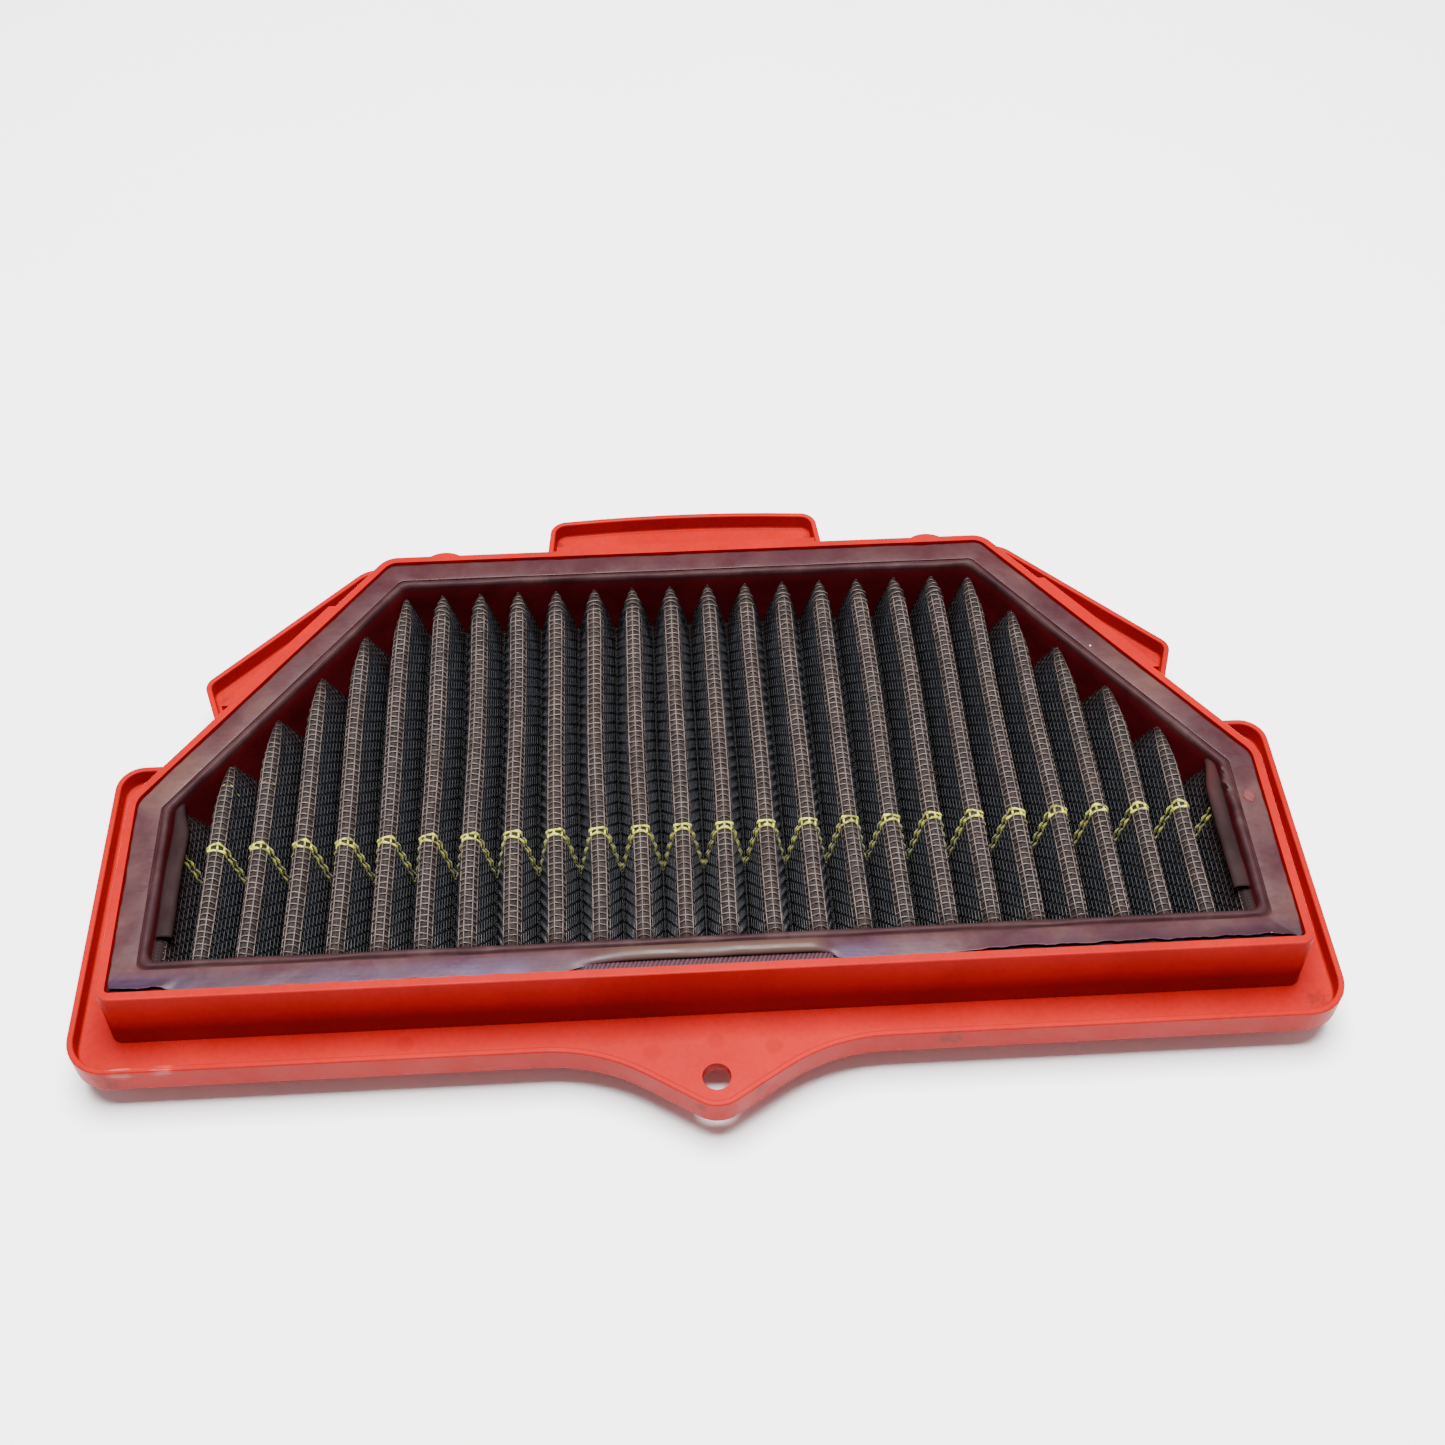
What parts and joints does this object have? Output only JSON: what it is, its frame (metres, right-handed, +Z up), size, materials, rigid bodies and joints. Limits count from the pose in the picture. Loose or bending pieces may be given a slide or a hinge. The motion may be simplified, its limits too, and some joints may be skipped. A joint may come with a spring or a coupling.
{
  "type": "air filter",
  "caption": "Panel air filter: a pleated pack of wire screens and cotton gauze, potted into a flanged rubbery frame with a raised lip, a screw tab and ears.",
  "frame": {"origin": "middle of the underside, at the centre of the overall outline", "axes": "+X along the wide front side, +Y to the narrow back side, +Z up through the open side of the frame"},
  "size_m": [0.2836, 0.1814, 0.028],
  "materials": {
    "frame_rubber": "matte moulded polyurethane",
    "potting": "satin cast polyurethane",
    "seal_film": "thin glossy skin",
    "screen_hem": "woven edge soaked in potting",
    "end_strip": "matte strip",
    "screen_wire": "coated woven wire",
    "cotton_gauze": "oiled dark gauze",
    "tracer_yarn": "twisted yarn"
  },
  "bodies": {
    "root": {"moulded_frame": "frame_rubber", "potting_ring_upper": "potting", "potting_ring_lower": "potting", "seal_film_upper": "seal_film", "seal_film_lower": "seal_film", "film_roll_front": "seal_film", "screen_hem_front": "screen_hem", "end_strip_left": "end_strip", "end_strip_right": "end_strip", "upper_screen": "screen_wire", "lower_screen": "screen_wire", "cotton_layer_1": "cotton_gauze", "cotton_layer_2": "cotton_gauze", "cotton_layer_3": "cotton_gauze", "cotton_layer_4": "cotton_gauze", "tracer_thread_front": "tracer_yarn", "tracer_thread_rear": "tracer_yarn"}
  },
  "joints": []
}
